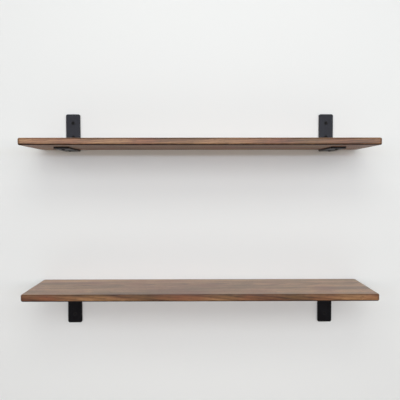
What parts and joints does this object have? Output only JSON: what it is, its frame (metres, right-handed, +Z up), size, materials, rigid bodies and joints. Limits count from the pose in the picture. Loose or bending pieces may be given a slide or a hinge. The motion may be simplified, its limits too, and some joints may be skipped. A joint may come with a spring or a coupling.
{
  "type": "wall shelf with brackets",
  "caption": "Wall shelves: flat wooden boards with rounded corners on bent flat-steel angle brackets, brackets upward on the upper board and downward on the lower, screwed to the wall.",
  "frame": {"origin": "on the wall, in the middle of the four fixings of the lower shelf", "axes": "+Z up, +X to the right along the wall, -Y out from the wall towards the front edge of the boards"},
  "size_m": [0.9, 0.251, 0.597],
  "materials": {
    "stained_wood": "dark walnut stain under a thin satin lacquer",
    "black_powder_coat": "satin black powder coat on steel",
    "black_screw": "black phosphated and oiled steel"
  },
  "bodies": {
    "root": {"upper_board": "stained_wood", "upper_left_bracket": "black_powder_coat", "upper_left_top_wall_screw": "black_screw", "upper_left_bottom_wall_screw": "black_screw", "upper_left_back_board_screw": "black_screw", "upper_left_front_board_screw": "black_screw", "upper_right_bracket": "black_powder_coat", "upper_right_top_wall_screw": "black_screw", "upper_right_bottom_wall_screw": "black_screw", "upper_right_back_board_screw": "black_screw", "upper_right_front_board_screw": "black_screw", "lower_board": "stained_wood", "lower_left_bracket": "black_powder_coat", "lower_left_top_wall_screw": "black_screw", "lower_left_bottom_wall_screw": "black_screw", "lower_left_back_board_screw": "black_screw", "lower_left_front_board_screw": "black_screw", "lower_right_bracket": "black_powder_coat", "lower_right_top_wall_screw": "black_screw", "lower_right_bottom_wall_screw": "black_screw", "lower_right_back_board_screw": "black_screw", "lower_right_front_board_screw": "black_screw"}
  },
  "joints": []
}
